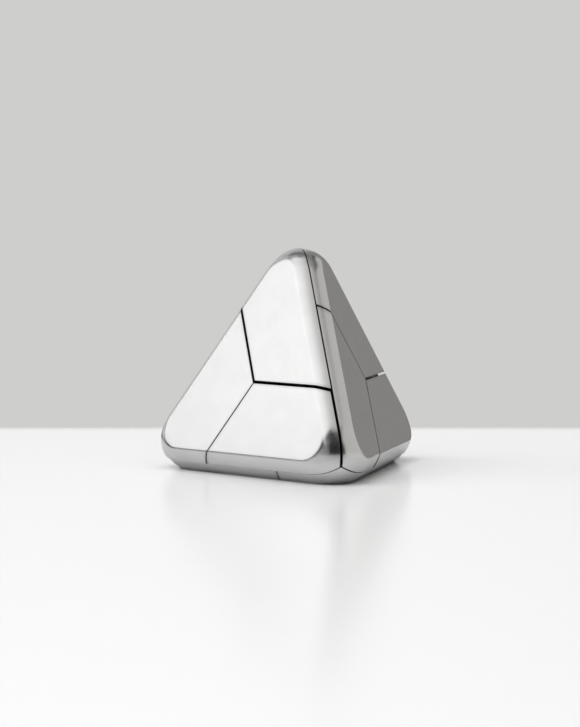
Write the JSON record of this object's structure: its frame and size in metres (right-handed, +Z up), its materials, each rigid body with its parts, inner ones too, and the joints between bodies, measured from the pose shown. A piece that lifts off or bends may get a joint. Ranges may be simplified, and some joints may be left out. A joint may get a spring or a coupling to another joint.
{
  "type": "take-apart pyramid puzzle",
  "caption": "Rounded steel pyramid puzzle whose equal wedge-shaped blocks meet at its centre, hold together by set-in disc magnets and draw apart.",
  "frame": {"origin": "on the surface the pyramid stands on, under the middle of its bounding box", "axes": "+Z up through the top corner's height, +X to the right along the front bottom edge, +Y away from the front face towards the far corner"},
  "size_m": [0.0674, 0.0613, 0.0578],
  "materials": {
    "block_steel": "satin",
    "magnet_nickel": "bright nickel plate"
  },
  "bodies": {
    "front_top_body": {"front_top_block": "block_steel", "front_top_magnet_long_edge": "magnet_nickel", "front_top_magnet_short_edge": "magnet_nickel", "front_top_magnet_short_seam": "magnet_nickel", "front_top_magnet_long_seam": "magnet_nickel"},
    "right_top_body": {"right_top_block": "block_steel", "right_top_magnet_long_edge": "magnet_nickel", "right_top_magnet_short_edge": "magnet_nickel", "right_top_magnet_short_seam": "magnet_nickel", "right_top_magnet_long_seam": "magnet_nickel"},
    "rear_top_body": {"rear_top_block": "block_steel", "rear_top_magnet_long_edge": "magnet_nickel", "rear_top_magnet_short_edge": "magnet_nickel", "rear_top_magnet_short_seam": "magnet_nickel", "rear_top_magnet_long_seam": "magnet_nickel"},
    "rear_left_body": {"rear_left_block": "block_steel", "rear_left_magnet_long_edge": "magnet_nickel", "rear_left_magnet_short_edge": "magnet_nickel", "rear_left_magnet_short_seam": "magnet_nickel", "rear_left_magnet_long_seam": "magnet_nickel"},
    "base_left_body": {"base_left_block": "block_steel", "base_left_magnet_long_edge": "magnet_nickel", "base_left_magnet_short_edge": "magnet_nickel", "base_left_magnet_short_seam": "magnet_nickel", "base_left_magnet_long_seam": "magnet_nickel"},
    "front_left_body": {"front_left_block": "block_steel", "front_left_magnet_long_edge": "magnet_nickel", "front_left_magnet_short_edge": "magnet_nickel", "front_left_magnet_short_seam": "magnet_nickel", "front_left_magnet_long_seam": "magnet_nickel"},
    "right_near_body": {"right_near_block": "block_steel", "right_near_magnet_long_edge": "magnet_nickel", "right_near_magnet_short_edge": "magnet_nickel", "right_near_magnet_short_seam": "magnet_nickel", "right_near_magnet_long_seam": "magnet_nickel"},
    "front_near_body": {"front_near_block": "block_steel", "front_near_magnet_long_edge": "magnet_nickel", "front_near_magnet_short_edge": "magnet_nickel", "front_near_magnet_short_seam": "magnet_nickel", "front_near_magnet_long_seam": "magnet_nickel"},
    "base_near_body": {"base_near_block": "block_steel", "base_near_magnet_long_edge": "magnet_nickel", "base_near_magnet_short_edge": "magnet_nickel", "base_near_magnet_short_seam": "magnet_nickel", "base_near_magnet_long_seam": "magnet_nickel"},
    "base_far_body": {"base_far_block": "block_steel", "base_far_magnet_long_edge": "magnet_nickel", "base_far_magnet_short_edge": "magnet_nickel", "base_far_magnet_short_seam": "magnet_nickel", "base_far_magnet_long_seam": "magnet_nickel"},
    "rear_far_body": {"rear_far_block": "block_steel", "rear_far_magnet_long_edge": "magnet_nickel", "rear_far_magnet_short_edge": "magnet_nickel", "rear_far_magnet_short_seam": "magnet_nickel", "rear_far_magnet_long_seam": "magnet_nickel"},
    "right_far_body": {"right_far_block": "block_steel", "right_far_magnet_long_edge": "magnet_nickel", "right_far_magnet_short_edge": "magnet_nickel", "right_far_magnet_short_seam": "magnet_nickel", "right_far_magnet_long_seam": "magnet_nickel"}
  },
  "joints": [
    {"name": "base_near_draw", "type": "slide", "parent": "base_near_body", "child": "rear_left_body", "axis": [-0.3951, 0.1141, 0.9115], "range_m": [0, 0.05]},
    {"name": "front_top_draw", "type": "slide", "parent": "rear_left_body", "child": "front_top_body", "axis": [0.0988, -0.7263, 0.6802], "range_m": [0, 0.05]},
    {"name": "right_top_draw", "type": "slide", "parent": "rear_left_body", "child": "right_top_body", "axis": [0.5796, 0.4487, 0.6802], "range_m": [0, 0.05]},
    {"name": "rear_top_draw", "type": "slide", "parent": "rear_left_body", "child": "rear_top_body", "axis": [-0.6784, 0.2776, 0.6802], "range_m": [0, 0.05]},
    {"name": "base_left_draw", "type": "slide", "parent": "rear_left_body", "child": "base_left_body", "axis": [-0.2964, -0.2852, -0.9115], "range_m": [0, 0.05]},
    {"name": "front_left_draw", "type": "slide", "parent": "rear_left_body", "child": "front_left_body", "axis": [-0.3951, -0.8974, 0.1963], "range_m": [0, 0.05]},
    {"name": "right_near_draw", "type": "slide", "parent": "rear_left_body", "child": "right_near_body", "axis": [0.9747, 0.1065, 0.1963], "range_m": [0, 0.05]},
    {"name": "front_near_draw", "type": "slide", "parent": "rear_left_body", "child": "front_near_body", "axis": [0.2964, -0.9544, 0.035], "range_m": [0, 0.05]},
    {"name": "base_far_draw", "type": "slide", "parent": "rear_left_body", "child": "base_far_body", "axis": [-0.0988, 0.3992, -0.9115], "range_m": [0, 0.05]},
    {"name": "rear_far_draw", "type": "slide", "parent": "rear_left_body", "child": "rear_far_body", "axis": [-0.5796, 0.7909, 0.1963], "range_m": [0, 0.05]},
    {"name": "right_far_draw", "type": "slide", "parent": "rear_left_body", "child": "right_far_body", "axis": [0.6784, 0.7339, 0.035], "range_m": [0, 0.05]}
  ]
}
